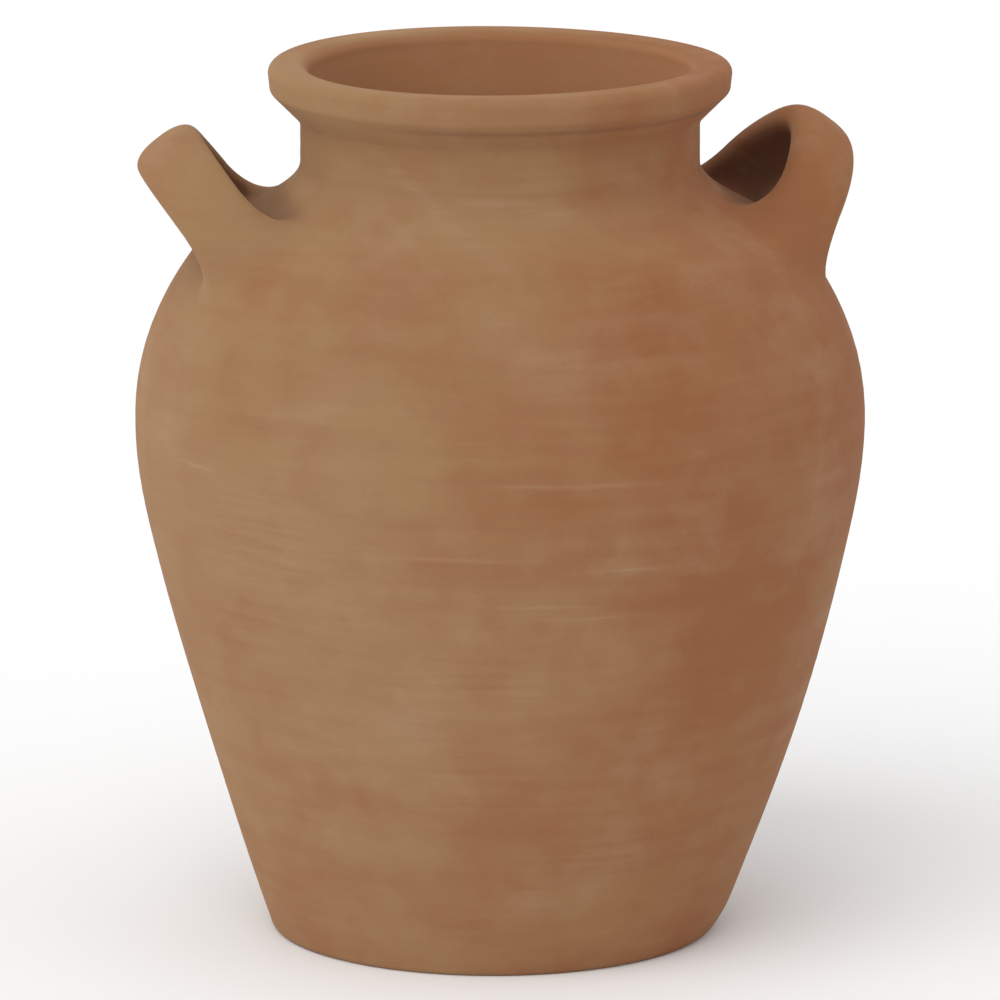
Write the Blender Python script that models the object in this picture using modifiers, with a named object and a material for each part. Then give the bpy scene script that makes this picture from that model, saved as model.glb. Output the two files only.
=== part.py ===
"""Two-handled terracotta amphora, about 305 mm tall and 254 mm across the belly.

It is modelled as the clay members that a potter joins with slip: a floor disc, a lower and an upper
wall section that meet at the belly, a neck collar, a rim coil, two strap handles, and the coil of
clay luted round each of the four handle roots. Every seam leaves a thin layer for the slip.

Metres, +Z up. The origin is the centre of the foot on the ground. One handle points along +X and the
other along -X.
"""

import math

import bmesh
import bpy

# Outside of the wall, from the ground up. Each rise starts where the one below it ends, and a flare
# is the radius that the wall gains for each unit of height.
FOOT_RADIUS = 0.0782
FOOT_FLARE = 0.362
FOOT_ROUND = 0.003
FLANK_RISE = 0.130
FLANK_INSET = 0.0081  # how far the flank lies inside the belly
FLANK_FLARE = 0.235
BELLY_RISE = 0.051
BELLY_RADIUS = 0.1268
SHOULDER_RISE = 0.0615
SHOULDER_INSET = 0.0233
SHOULDER_FLARE = -0.79
THROAT_RISE = 0.0119
THROAT_SPREAD = 0.0176  # how far the throat stands out from the neck
THROAT_FLARE = -1.9
NECK_FOOT_RISE = 0.0164
NECK_RISE = 0.0115
NECK_RADIUS = 0.069

# Lip, above the neck.
RIM_FOOT_RISE = 0.0014
LIP_OVERHANG = 0.0111
LIP_TAPER = 0.0005  # how much narrower the lip is at its lower round than at its upper one
LIP_WIDTH = 0.0141
LIP_DEPTH = 0.0110
LIP_UPPER_ROUND = 0.0035
LIP_LOWER_ROUND = 0.0030
LIP_INNER_ROUND = 0.0048
UNDERCUT_ROUND = 0.0050

# Clay thickness and the seams between the members.
WALL = 0.0078
FLOOR = 0.0120
FLOOR_EDGE = 0.0080  # height at which the wall stands on the floor disc
TONGUE = 0.0028
NECK_SEAM_DROP = 0.0035  # how far the neck seam lies below the straight neck
SLIP = 0.0004  # thickness of the slip left between two members

# Handles: each is an arch whose two legs stand side by side on the shoulder.
HANDLE_ROOT_RISE = 0.0647  # above the widest line of the belly
HANDLE_HALF_SPREAD = 0.0398
HANDLE_REACH = 0.0372
HANDLE_LEAN = math.radians(53.0)  # of the arch above the horizontal
HANDLE_DRIFT = math.radians(4.3)  # both handles were set this far towards +Y from the diameter
ARCH_POWER = 1.68
ARCH_EASE = 0.0031  # how far the bends of the arch are eased to each side
STRAP_WIDTH = 0.0246
STRAP_THICKNESS = 0.0133
STRAP_POWER = 2.5
LUTE_SPREAD = 0.0042  # clay added on each side of the strap where it meets the shoulder
LUTE_DECAY = 0.0087
LUTE_RISE = 0.0140
ROOT_DEPTH = 0.0160  # how far a leg is carried into the wall before it is trimmed to it

SEGMENTS = 48
SPAN_STEPS = 4
ROUND_STEPS = 3
ARCH_STEPS = 30
ARCH_FINENESS = 20  # points along the arch for each step that is kept
SECTION_STEPS = 14

TERRACOTTA = (0.36, 0.17, 0.085)
LUTING_CLAY = (0.40, 0.20, 0.11)
FIRED_ROUGHNESS = 0.9

BELLY_HEIGHT = FLANK_RISE + BELLY_RISE
SHOULDER_HEIGHT = BELLY_HEIGHT + SHOULDER_RISE
THROAT_HEIGHT = SHOULDER_HEIGHT + THROAT_RISE
NECK_FOOT_HEIGHT = THROAT_HEIGHT + NECK_FOOT_RISE
NECK_SEAM_HEIGHT = NECK_FOOT_HEIGHT - NECK_SEAM_DROP
RIM_SEAM_HEIGHT = NECK_FOOT_HEIGHT + NECK_RISE


def clear_scene():
    for item in list(bpy.data.objects):
        bpy.data.objects.remove(item)


def new_collection(name):
    collection = bpy.data.collections.new(name)
    bpy.context.scene.collection.children.link(collection)
    return collection


def clay(name, colour):
    material = bpy.data.materials.new(name)
    material.use_nodes = True
    shader = material.node_tree.nodes["Principled BSDF"]
    shader.inputs["Base Color"].default_value = (*colour, 1.0)
    shader.inputs["Roughness"].default_value = FIRED_ROUGHNESS
    shader.inputs["Metallic"].default_value = 0.0
    return material


# Outlines are lists of (radius, height), from the bottom up.


def wall_outline():
    """The outside of the wall, a smooth curve from the ground to the rim's seam."""
    knots = [
        (0.0, FOOT_RADIUS, FOOT_FLARE),
        (FLANK_RISE, BELLY_RADIUS - FLANK_INSET, FLANK_FLARE),
        (BELLY_HEIGHT, BELLY_RADIUS, 0.0),
        (SHOULDER_HEIGHT, BELLY_RADIUS - SHOULDER_INSET, SHOULDER_FLARE),
        (THROAT_HEIGHT, NECK_RADIUS + THROAT_SPREAD, THROAT_FLARE),
        (NECK_FOOT_HEIGHT, NECK_RADIUS, 0.0),
        (RIM_SEAM_HEIGHT, NECK_RADIUS, 0.0),
    ]
    points = [(FOOT_RADIUS, 0.0)]
    for (low, start, start_flare), (high, end, end_flare) in zip(knots, knots[1:]):
        rise = high - low
        for step in range(1, SPAN_STEPS + 1):
            t = step / SPAN_STEPS
            blend = t * t * (3 - 2 * t)
            radius = start + (end - start) * blend
            radius += rise * start_flare * t * (1 - t) ** 2
            radius -= rise * end_flare * t * t * (1 - t)
            points.append((radius, low + rise * t))
    return points


def inset(outline, distance):
    """The outline moved towards the axis, square to itself; a negative distance moves it outwards."""
    moved = []
    for index, (radius, height) in enumerate(outline):
        below = outline[max(index - 1, 0)]
        above = outline[min(index + 1, len(outline) - 1)]
        along = (above[0] - below[0], above[1] - below[1])
        length = math.hypot(*along)
        moved.append((radius - distance * along[1] / length, height + distance * along[0] / length))
    return moved


def radius_at(outline, height):
    for (r0, z0), (r1, z1) in zip(outline, outline[1:]):
        if z0 <= height <= z1:
            return r0 + (r1 - r0) * (height - z0) / (z1 - z0)
    return outline[0][0] if height < outline[0][1] else outline[-1][0]


def stretch(outline, low, high):
    """The part of an outline between two heights, with a point at each of them."""
    inside = [point for point in outline if low < point[1] < high]
    return [(radius_at(outline, low), low), *inside, (radius_at(outline, high), high)]


def arc(centre, radius, start, end):
    """Points round a centre, from one angle to another in degrees, anticlockwise from outwards."""
    angles = [math.radians(start + (end - start) * i / ROUND_STEPS) for i in range(ROUND_STEPS + 1)]
    return [(centre[0] + radius * math.cos(a), centre[1] + radius * math.sin(a)) for a in angles]


def seam(outer_radius, inner_radius, height):
    """A tongue across the wall's edge, from the outside in; the member above has the same groove."""
    middle = (outer_radius + inner_radius) / 2
    return [(outer_radius, height), (middle, height + TONGUE), (inner_radius, height)]


# Turned members.


def turned(name, profile, closed, material, collection):
    """A profile in the XZ plane, turned about Z; it runs down its outer side."""
    mesh = bpy.data.meshes.new(name)
    shape = bmesh.new()
    points = [shape.verts.new((radius, 0.0, height)) for radius, height in profile]
    for first, second in zip(points, points[1:] + points[:1] if closed else points[1:]):
        shape.edges.new((first, second))
    shape.to_mesh(mesh)
    shape.free()
    member = bpy.data.objects.new(name, mesh)
    collection.objects.link(member)
    screw = member.modifiers.new("turned", "SCREW")
    screw.axis = "Z"
    screw.angle = math.tau
    screw.steps = SEGMENTS
    screw.render_steps = SEGMENTS
    screw.use_merge_vertices = True
    screw.merge_threshold = 0.00001
    screw.use_smooth_shade = True
    if material:
        mesh.materials.append(material)
    return member


def ring(name, outer, inner, material, collection):
    """A turned ring from its outer and inner outlines, which both run from the bottom up."""
    return turned(name, outer[::-1] + inner, True, material, collection)


def wall_member(name, low, high, material, collection):
    """One wall section, with a groove along its lower edge and a tongue along its upper one."""
    bottom = low + SLIP
    outer = stretch(OUTSIDE, bottom, high)
    inner = stretch(INSIDE, bottom, high)
    groove = seam(outer[0][0], inner[0][0], bottom)[1:2]
    tongue = seam(outer[-1][0], inner[-1][0], high)[1:2]
    return ring(name, outer, groove + inner + tongue, material, collection)


def base_disc(material, collection):
    """The floor, with a rounded foot, a ledge for the wall to stand on and a boss inside the wall."""
    lean = math.atan(FOOT_FLARE)
    centre = (FOOT_RADIUS + FOOT_ROUND * (FOOT_FLARE - 1 / math.cos(lean)), FOOT_ROUND)
    foot = arc(centre, FOOT_ROUND, -math.degrees(lean), -90)
    side = stretch(OUTSIDE, foot[0][1], FLOOR_EDGE)[:0:-1]
    boss_radius = radius_at(INSIDE, FLOOR) - SLIP
    top = [(0.0, FLOOR), (boss_radius, FLOOR), (boss_radius, FLOOR_EDGE)]
    return turned("base_disc", top + side + foot + [(0.0, 0.0)], False, material, collection)


def lower_body(material, collection):
    """The wall from the floor disc to the belly; its inside starts level with the top of the floor."""
    bottom = FLOOR_EDGE + SLIP
    outer = stretch(OUTSIDE, bottom, BELLY_HEIGHT)
    inner = stretch(INSIDE, FLOOR, BELLY_HEIGHT)
    tongue = seam(outer[-1][0], inner[-1][0], BELLY_HEIGHT)[1:2]
    heel = [(inner[0][0], bottom)]
    return ring("lower_body", outer, heel + inner + tongue, material, collection)


def rim(material, collection):
    """The lip: a coil that overhangs the neck, undercut at 45 degrees below and rounded above."""
    bottom = RIM_SEAM_HEIGHT + SLIP
    lip_radius = NECK_RADIUS + LIP_OVERHANG
    hollow = (NECK_RADIUS + UNDERCUT_ROUND, RIM_SEAM_HEIGHT + RIM_FOOT_RISE)
    lower_out = lip_radius - LIP_TAPER - LIP_LOWER_ROUND
    slant = lower_out - hollow[0] + math.sqrt(2) * (UNDERCUT_ROUND + LIP_LOWER_ROUND)
    lower = (lower_out, hollow[1] + slant)
    top = lower[1] - LIP_LOWER_ROUND + LIP_DEPTH
    upper = (lip_radius - LIP_UPPER_ROUND, top - LIP_UPPER_ROUND)
    mouth_radius = lip_radius - LIP_WIDTH
    mouth = (mouth_radius + LIP_INNER_ROUND, top - LIP_INNER_ROUND)
    outer = [(NECK_RADIUS, bottom)]
    outer += arc(hollow, UNDERCUT_ROUND, 180, 135)
    outer += arc(lower, LIP_LOWER_ROUND, -45, 0)
    outer += arc(upper, LIP_UPPER_ROUND, 0, 90)
    inner_foot = radius_at(INSIDE, bottom)
    groove = seam(NECK_RADIUS, inner_foot, bottom)[1:]
    inner = groove + arc(mouth, LIP_INNER_ROUND, 180, 90)
    return ring("rim", outer, inner, material, collection)


# Handles. In a handle's own frame X is across the strap, Y runs from root to root and Z is the reach.


def arch_outline():
    """Fine points (y, z) of the arch's centre line, with its legs carried on into the wall."""
    points = [(-HANDLE_HALF_SPREAD, -ROOT_DEPTH)]
    count = ARCH_STEPS * ARCH_FINENESS
    for step in range(count + 1):
        angle = math.pi * (step / count - 0.5)
        across = math.copysign(abs(math.sin(angle)) ** (2 / ARCH_POWER), angle)
        reach = max(math.cos(angle), 0.0) ** (2 / ARCH_POWER)
        points.append((HANDLE_HALF_SPREAD * across, HANDLE_REACH * reach))
    return points + [(HANDLE_HALF_SPREAD, -ROOT_DEPTH)]


def evenly(points, steps):
    """Points at equal steps along a line of points."""
    lengths = [0.0]
    for first, second in zip(points, points[1:]):
        lengths.append(lengths[-1] + math.dist(first, second))
    kept = []
    index = 0
    for step in range(steps + 1):
        length = lengths[-1] * step / steps
        while index < len(points) - 2 and lengths[index + 1] < length:
            index += 1
        share = (length - lengths[index]) / (lengths[index + 1] - lengths[index])
        first, second = points[index], points[index + 1]
        kept.append(tuple(a + (b - a) * share for a, b in zip(first, second)))
    return kept


def arch_path():
    """Even points (y, z) of the arch's centre line, with its bends eased as soft clay eases them."""
    points = evenly(arch_outline(), ARCH_STEPS)
    step = math.dist(points[0], points[1])
    for _ in range(max(1, round(2 * (ARCH_EASE / step) ** 2))):
        middle = [
            tuple((a + 2 * b + c) / 4 for a, b, c in zip(before, point, after))
            for before, point, after in zip(points, points[1:], points[2:])
        ]
        points = [points[0], *middle, points[-1]]
    return points


def leg_path():
    """The foot of one leg, at +Y, from inside the wall up to the top of the luting."""
    return [(y, z) for y, z in reversed(arch_path()) if y > 0 and z <= LUTE_RISE]


def section(width, thickness):
    """The strap's cross-section, a rounded oblong, as (across, through) pairs."""
    points = []
    for step in range(SECTION_STEPS):
        angle = math.tau * step / SECTION_STEPS
        across = math.copysign(abs(math.cos(angle)) ** (2 / STRAP_POWER), math.cos(angle))
        through = math.copysign(abs(math.sin(angle)) ** (2 / STRAP_POWER), math.sin(angle))
        points.append((width / 2 * across, thickness / 2 * through))
    return points


def loft(name, path, sections, material, collection):
    """A skin over unlike sections set square to a path in the YZ plane, with a face over each end."""
    shape = bmesh.new()
    rings = []
    for index, (y, z) in enumerate(path):
        before = path[max(index - 1, 0)]
        after = path[min(index + 1, len(path) - 1)]
        length = math.hypot(after[0] - before[0], after[1] - before[1])
        normal = ((before[1] - after[1]) / length, (after[0] - before[0]) / length)
        rings.append(
            [
                shape.verts.new((across, y + through * normal[0], z + through * normal[1]))
                for across, through in sections[index]
            ]
        )
    for lower, upper in zip(rings, rings[1:]):
        for i in range(SECTION_STEPS):
            j = (i + 1) % SECTION_STEPS
            shape.faces.new((lower[i], lower[j], upper[j], upper[i]))
    shape.faces.new(rings[0][::-1])
    shape.faces.new(rings[-1])
    bmesh.ops.recalc_face_normals(shape, faces=shape.faces)
    mesh = bpy.data.meshes.new(name)
    shape.to_mesh(mesh)
    shape.free()
    mesh.shade_smooth()
    mesh.set_sharp_from_angle(angle=math.radians(50))
    if material:
        mesh.materials.append(material)
    member = bpy.data.objects.new(name, mesh)
    collection.objects.link(member)
    return member


def strap(name, clearance, material, collection):
    path = arch_path()
    shape = section(STRAP_WIDTH + 2 * clearance, STRAP_THICKNESS + 2 * clearance)
    return loft(name, path, [shape] * len(path), material, collection)


def luting(name, side, material, collection):
    """The coil of clay smeared round one root; side is +1 or -1 along the handle's own Y."""
    path = leg_path()
    sections = []
    for _, reach in path:
        spread = LUTE_SPREAD * math.exp(-max(reach, 0.0) / LUTE_DECAY)
        sections.append(section(STRAP_WIDTH + 2 * spread, STRAP_THICKNESS + 2 * spread))
    path = [(side * y, z) for y, z in path]
    return loft(name, path, sections, material, collection)


def cut(member, cutter):
    boolean = member.modifiers.new("trimmed to " + cutter.name, "BOOLEAN")
    boolean.operation = "DIFFERENCE"
    boolean.solver = "EXACT"
    boolean.object = cutter


def as_cutter(member):
    member.hide_render = True
    member.display_type = "WIRE"
    return member


def shoulder_cutter(collection):
    """The solid pot from flank to neck, a layer of slip larger, that every root is trimmed to."""
    surface = stretch(inset(OUTSIDE, -SLIP), FLANK_RISE, NECK_FOOT_HEIGHT)[::-1]
    profile = [(0.0, surface[0][1]), *surface, (0.0, surface[-1][1])]
    return as_cutter(turned("shoulder_cutter", profile, False, None, collection))


def handle(name, azimuth, materials, parts, cutters, wall):
    root_height = BELLY_HEIGHT + HANDLE_ROOT_RISE
    root_radius = radius_at(OUTSIDE, root_height)
    out = math.sqrt(root_radius**2 - HANDLE_HALF_SPREAD**2)
    frame = bpy.data.objects.new(name + "_frame", None)
    frame.location = (out * math.cos(azimuth), out * math.sin(azimuth), root_height)
    frame.rotation_euler = (0.0, math.pi / 2 - HANDLE_LEAN, azimuth)
    parts.objects.link(frame)
    bow = strap(name, 0.0, materials["clay"], parts)
    bow_cutter = as_cutter(strap(name + "_cutter", SLIP, None, cutters))
    cut(bow, wall)
    members = [bow, bow_cutter]
    for root, way in (("front", -1), ("back", 1)):
        side = way * math.copysign(1, math.cos(azimuth))
        coil = luting(name + "_" + root + "_luting", side, materials["luting"], parts)
        cut(coil, wall)
        cut(coil, bow_cutter)
        members.append(coil)
    for member in members:
        member.parent = frame


OUTSIDE = wall_outline()
INSIDE = inset(OUTSIDE, WALL)


def main():
    clear_scene()
    parts = new_collection("amphora")
    cutters = new_collection("cutters")
    materials = {
        "clay": clay("terracotta", TERRACOTTA),
        "luting": clay("luting_clay", LUTING_CLAY),
    }
    body = materials["clay"]
    base_disc(body, parts)
    lower_body(body, parts)
    wall_member("upper_body", BELLY_HEIGHT, NECK_SEAM_HEIGHT, body, parts)
    wall_member("neck_collar", NECK_SEAM_HEIGHT, RIM_SEAM_HEIGHT, body, parts)
    rim(body, parts)
    wall = shoulder_cutter(cutters)
    handle("handle_right", HANDLE_DRIFT, materials, parts, cutters, wall)
    handle("handle_left", math.pi - HANDLE_DRIFT, materials, parts, cutters, wall)


main()
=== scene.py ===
import math

import bpy
import numpy as np
from mathutils import Euler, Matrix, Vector, noise

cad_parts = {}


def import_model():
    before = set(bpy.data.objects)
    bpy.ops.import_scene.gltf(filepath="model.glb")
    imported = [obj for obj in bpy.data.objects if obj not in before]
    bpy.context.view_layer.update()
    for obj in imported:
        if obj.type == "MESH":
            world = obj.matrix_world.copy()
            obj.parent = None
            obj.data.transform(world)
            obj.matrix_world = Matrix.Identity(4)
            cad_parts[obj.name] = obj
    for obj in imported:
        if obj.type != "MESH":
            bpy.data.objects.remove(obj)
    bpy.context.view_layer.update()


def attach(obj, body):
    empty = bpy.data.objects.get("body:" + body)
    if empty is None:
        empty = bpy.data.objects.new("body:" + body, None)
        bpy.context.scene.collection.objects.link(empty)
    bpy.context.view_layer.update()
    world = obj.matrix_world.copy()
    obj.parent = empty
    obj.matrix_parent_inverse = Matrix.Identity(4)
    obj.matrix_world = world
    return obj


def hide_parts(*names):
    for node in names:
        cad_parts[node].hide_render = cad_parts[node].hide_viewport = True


# The finished look of a two-handled terracotta amphora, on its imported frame. Every clay member of the
# frame gets a fine surface of its own, which follows the frame's outline. Metres, +Z up, and the foot
# stands on the floor at the origin.

# Outside of the wall, as in the CAD model: each rise starts where the one below it ends, and a flare
# is the radius that the wall gains for each unit of height.
FOOT_RADIUS = 0.0782
FOOT_FLARE = 0.362
FOOT_ROUND = 0.003
FLANK_RISE = 0.130
FLANK_INSET = 0.0081
FLANK_FLARE = 0.235
BELLY_RISE = 0.051
BELLY_RADIUS = 0.1268
SHOULDER_RISE = 0.0615
SHOULDER_INSET = 0.0233
SHOULDER_FLARE = -0.79
THROAT_RISE = 0.0119
THROAT_SPREAD = 0.0176
THROAT_FLARE = -1.9
NECK_FOOT_RISE = 0.0164
NECK_RISE = 0.0115
NECK_RADIUS = 0.069

# Lip.
RIM_FOOT_RISE = 0.0014
LIP_OVERHANG = 0.0111
LIP_TAPER = 0.0005
LIP_WIDTH = 0.0141
LIP_DEPTH = 0.0110
LIP_UPPER_ROUND = 0.0035
LIP_LOWER_ROUND = 0.0030
LIP_INNER_ROUND = 0.0048
UNDERCUT_ROUND = 0.0050
LIP_INNER_STEP = 0.0053  # how much wider the mouth is than the inside of the neck

# Wall thickness, and the seams between the members.
WALL = 0.0078
FLOOR = 0.0120
FLOOR_EDGE = 0.0080
TONGUE = 0.0028
NECK_SEAM_DROP = 0.0035

# Handles.
HANDLE_ROOT_RISE = 0.0647
HANDLE_HALF_SPREAD = 0.0398
HANDLE_REACH = 0.0372
HANDLE_LEAN = math.radians(53.0)
HANDLE_DRIFT = math.radians(4.3)
ARCH_POWER = 1.68
ARCH_EASE = 0.0031  # how far the bends of the arch are eased to each side
STRAP_WIDTH = 0.0246
STRAP_THICKNESS = 0.0133
STRAP_POWER = 2.5
ROOT_DEPTH = 0.0160
ROOT_TRIM = 0.0035  # how deep the end of a leg lies in the wall

# Fillets of luting clay at the handle roots.
LUTE_CLIMB = 0.0230  # how far the clay is smeared up the strap
LUTE_REACH = 0.0145  # and how far out over the shoulder
LUTE_FRONT_LOW = (1.05, 0.90)  # shares of the two on the lower side of the front lutings
LUTE_BACK_LOW = (0.50, 0.30)  # and on the lower side of the back ones
LUTE_BITE = 0.0012  # how deep the body of the clay goes into the strap
LUTE_SINK = 0.0016  # how deep its edge lies under the skin of the wall
EDGE_SINK = 0.00005  # how far its feathered edges dip under the strap and the wall

# What the potter's hands, and use, left on the clay. A pair (around, upward) says how fast a fault
# changes round the pot and for each metre up it. A turn starts at the camera's right.
RIDGE_PITCH = 0.0062
RIDGE_DEPTH = 0.00007
RIDGE_FADE = (1.5, 45.0)
RIDGE_WANDER = 1.6  # how far a ridge strays from an even spiral, in radians
RIDGE_WANDER_FADE = (0.0, 60.0)
OUT_OF_ROUND = 0.0004
DENTS = (1.1, 14.0)
BELLY_ZONE = 0.018  # half of the stretch of the belly that must not stand out of the frame's outline
RIM_SAG = 0.0009  # how much lower the mouth is on its two low sides
SAG_TURN = math.radians(135.0)  # the mouth is high here, and high again opposite
HEEL_WEAR = 0.0028
HEEL_RISE = 0.0130  # how high the wear of the heel reaches
WEAR_TURN = math.radians(20.0)  # where the heel is worn most
WEAR_POWERS = (6, 1.5, 2.2)  # how fast the wear fades inwards, round the foot and up the wall
SWAY = 0.0013  # how far the foot sits off the axis of the belly, to the camera's left
SWAY_BEND = 0.10  # height at which the wall has swung to the other side
STRAP_WAVER = 0.02  # share by which the width of a strap comes and goes
WAVER_RATE = 45.0  # and how fast it does so, for each metre

# Fineness of the surfaces.
SEGMENTS = 144
UNDERSIDE_STEP = 0.012
FLOOR_RINGS = (1.0, 0.7, 0.4, 0.15)  # shares of the floor's radius
LIP_TOP_RINGS = (0.35, 0.7)  # shares of the way over the top of the lip
OUTER_STEP = 0.0015
INNER_STEP = 0.0040
ARC_STEPS = 8
SLANT_STEPS = 14  # on the slant under the lip
ARCH_SAMPLES = 2001
STRAP_STEPS = 72
SECTION_STEPS = 56
FILLET_STEPS = 12
WALL_ROUNDS = 3  # each one moves a point nearer to the wall

# Camera. It stands a little to the left of the pot's front.
CAMERA_TURN = math.radians(10.93)
CAMERA_RISE = math.radians(11.92)
CAMERA_DISTANCE = 3.408
CAMERA_TARGET = 0.1508
CAMERA_LENS = 352.8
SENSOR_WIDTH = 36.0
FAR_CLIP = 50.0

# Stage.
FLOOR_SIZE = 12.0  # half of its side
FLOOR_COLOUR = (0.93, 0.93, 0.93)
FLOOR_ROUGHNESS = 0.9
SKY_STRENGTH = 0.80
LAMP_DISTANCE = 2.0

# What follows from the sizes above.
BELLY_HEIGHT = FLANK_RISE + BELLY_RISE
SHOULDER_HEIGHT = BELLY_HEIGHT + SHOULDER_RISE
THROAT_HEIGHT = SHOULDER_HEIGHT + THROAT_RISE
NECK_FOOT_HEIGHT = THROAT_HEIGHT + NECK_FOOT_RISE
NECK_SEAM_HEIGHT = NECK_FOOT_HEIGHT - NECK_SEAM_DROP
RIM_SEAM_HEIGHT = NECK_FOOT_HEIGHT + NECK_RISE
CAMERA_RIGHT = (math.cos(CAMERA_TURN), -math.sin(CAMERA_TURN))  # on the floor

# Height, radius and flare of the outside of the wall, from the foot to the rim's seam.
KNOTS = (
    (0.0, FOOT_RADIUS, FOOT_FLARE),
    (FLANK_RISE, BELLY_RADIUS - FLANK_INSET, FLANK_FLARE),
    (BELLY_HEIGHT, BELLY_RADIUS, 0.0),
    (SHOULDER_HEIGHT, BELLY_RADIUS - SHOULDER_INSET, SHOULDER_FLARE),
    (THROAT_HEIGHT, NECK_RADIUS + THROAT_SPREAD, THROAT_FLARE),
    (NECK_FOOT_HEIGHT, NECK_RADIUS, 0.0),
    (RIM_SEAM_HEIGHT, NECK_RADIUS, 0.0),
)


# Outlines.


def wall_radius(height):
    """Radius of the outside of the wall at a height."""
    height = min(max(height, 0.0), RIM_SEAM_HEIGHT)
    for (low, start, start_flare), (high, end, end_flare) in zip(KNOTS, KNOTS[1:]):
        if height <= high:
            break
    rise = high - low
    t = (height - low) / rise
    radius = start + (end - start) * t * t * (3 - 2 * t)
    return radius + rise * t * (1 - t) * (start_flare * (1 - t) - end_flare * t)


def wall_flare(height):
    """Radius that the wall gains for each unit of height."""
    reach = 0.0002
    low, high = max(height - reach, 0.0), min(height + reach, RIM_SEAM_HEIGHT)
    return (wall_radius(high) - wall_radius(low)) / (high - low)


def inner_outline():
    """The inside of the wall from the rim's seam down, square to the outside."""
    points = []
    for height in spaced(0.0, RIM_SEAM_HEIGHT, OUTER_STEP) + [RIM_SEAM_HEIGHT]:
        flare = wall_flare(height)
        length = math.hypot(1.0, flare)
        points.append((wall_radius(height) - WALL / length, height + WALL * flare / length))
    return np.array(points)


def inner_radius(height):
    """Radius of the inside of the wall at a height."""
    return float(np.interp(height, INSIDE[:, 1], INSIDE[:, 0]))


def spaced(start, end, step):
    """Even heights from start up to, but not including, end."""
    count = max(2, round(abs(end - start) / step))
    return [start + (end - start) * i / count for i in range(count)]


def arc(centre, radius, start, end):
    """Points round a centre, from one angle in degrees to another."""
    angles = [math.radians(start + (end - start) * i / ARC_STEPS) for i in range(ARC_STEPS + 1)]
    return [(centre[0] + radius * math.cos(a), centre[1] + radius * math.sin(a)) for a in angles]


def foot_rows():
    """From the middle of the underside out and round the foot."""
    lean = math.atan(FOOT_FLARE)
    centre = (FOOT_RADIUS + FOOT_ROUND * (FOOT_FLARE - 1 / math.cos(lean)), FOOT_ROUND)
    under = [(radius, 0.0) for radius in spaced(0.0, centre[0], UNDERSIDE_STEP)]
    return under + arc(centre, FOOT_ROUND, -90, -math.degrees(lean))


def lip_rows():
    """From the rim's seam outside, over the lip, to the rim's seam inside."""
    lip_radius = NECK_RADIUS + LIP_OVERHANG
    hollow = (NECK_RADIUS + UNDERCUT_ROUND, RIM_SEAM_HEIGHT + RIM_FOOT_RISE)
    lower_out = lip_radius - LIP_TAPER - LIP_LOWER_ROUND
    slant = lower_out - hollow[0] + math.sqrt(2) * (UNDERCUT_ROUND + LIP_LOWER_ROUND)
    lower = (lower_out, hollow[1] + slant)
    top = lower[1] - LIP_LOWER_ROUND + LIP_DEPTH
    upper = (lip_radius - LIP_UPPER_ROUND, top - LIP_UPPER_ROUND)
    mouth = (lip_radius - LIP_WIDTH + LIP_INNER_ROUND, top - LIP_INNER_ROUND)
    under = arc(hollow, UNDERCUT_ROUND, 180, 135)
    front = arc(lower, LIP_LOWER_ROUND, -45, 0)
    (x0, z0), (x1, z1) = under[-1], front[0]
    shares = [i / SLANT_STEPS for i in range(1, SLANT_STEPS)]
    rows = [(NECK_RADIUS, RIM_SEAM_HEIGHT)] + under
    rows += [(x0 + (x1 - x0) * share, z0 + (z1 - z0) * share) for share in shares] + front
    rows += arc(upper, LIP_UPPER_ROUND, 0, 90)
    rows += [(upper[0] + (mouth[0] - upper[0]) * share, top) for share in LIP_TOP_RINGS]
    rows += arc(mouth, LIP_INNER_ROUND, 90, 180)
    edge = rows[-1]
    foot = (inner_radius(RIM_SEAM_HEIGHT), RIM_SEAM_HEIGHT)
    shares = [i / ARC_STEPS for i in range(1, ARC_STEPS)]
    return rows + [tuple(e + (f - e) * share for e, f in zip(edge, foot)) for share in shares]


def skin_rows():
    """The whole skin from the underside to the floor, and the row that each stretch of it starts at."""

    def wall(low, high):
        return [(wall_radius(z), z) for z in spaced(low, high, OUTER_STEP)]

    def inside(high, low):
        return [(inner_radius(z), z) for z in spaced(high, low, INNER_STEP)]

    foot = foot_rows()
    stretches = [
        ("foot", foot + wall(foot[-1][1], FLOOR_EDGE)[1:]),
        ("lower", wall(FLOOR_EDGE, BELLY_HEIGHT)),
        ("upper", wall(BELLY_HEIGHT, NECK_SEAM_HEIGHT)),
        ("neck", wall(NECK_SEAM_HEIGHT, RIM_SEAM_HEIGHT)),
        ("lip", lip_rows()),
        ("inner_neck", inside(RIM_SEAM_HEIGHT, NECK_SEAM_HEIGHT)),
        ("inner_upper", inside(NECK_SEAM_HEIGHT, BELLY_HEIGHT)),
        ("inner_lower", inside(BELLY_HEIGHT, FLOOR)),
        ("floor", [(inner_radius(FLOOR), FLOOR)]),
    ]
    rows, starts = [], {}
    for name, stretch in stretches:
        starts[name] = len(rows)
        rows += stretch
    return rows, starts


# The potter's marks, as moves of a point of the skin.


def clay_noise(height, azimuth, pace, shift=(0.0, 0.0, 0.0)):
    """Smooth noise over the skin; pace is (around, upward)."""
    around, upward = pace
    where = Vector((math.cos(azimuth) * around, math.sin(azimuth) * around, height * upward))
    return noise.noise(where + Vector(shift))


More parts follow.
